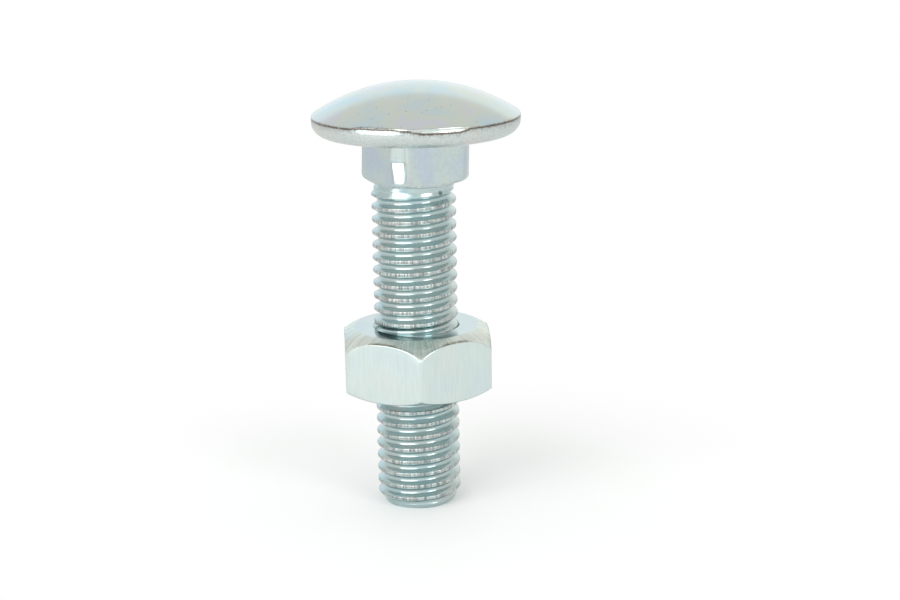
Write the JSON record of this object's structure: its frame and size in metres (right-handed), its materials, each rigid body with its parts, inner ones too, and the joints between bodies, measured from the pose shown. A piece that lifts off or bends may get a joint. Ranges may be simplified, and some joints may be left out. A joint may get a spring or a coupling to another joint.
{
  "type": "carriage bolt",
  "caption": "Bolt with a domed round head, a square neck, a right-hand metric thread and a chamfered flat end, with a hex nut run part-way up the thread.",
  "frame": {"origin": "centre of the thread's flat end, which is the bottom of the bolt as it stands", "axes": "+Z along the bolt's axis, from the flat end to the domed head. X and Y are square to the flats of the neck"},
  "size_m": [0.0239, 0.0238, 0.0499],
  "materials": {
    "bolt_zinc": "bright zinc plate, smooth and glossy, faintly blue",
    "nut_zinc": "bright zinc plate, satin on the flats"
  },
  "bodies": {
    "bolt": {"bolt": "bolt_zinc"},
    "nut": {"hex_nut": "nut_zinc"}
  },
  "joints": [
    {"name": "nut_travel", "type": "slide", "parent": "bolt", "child": "nut", "axis": [0, 0, 1], "range_m": [-0.012, 0.015]}
  ]
}
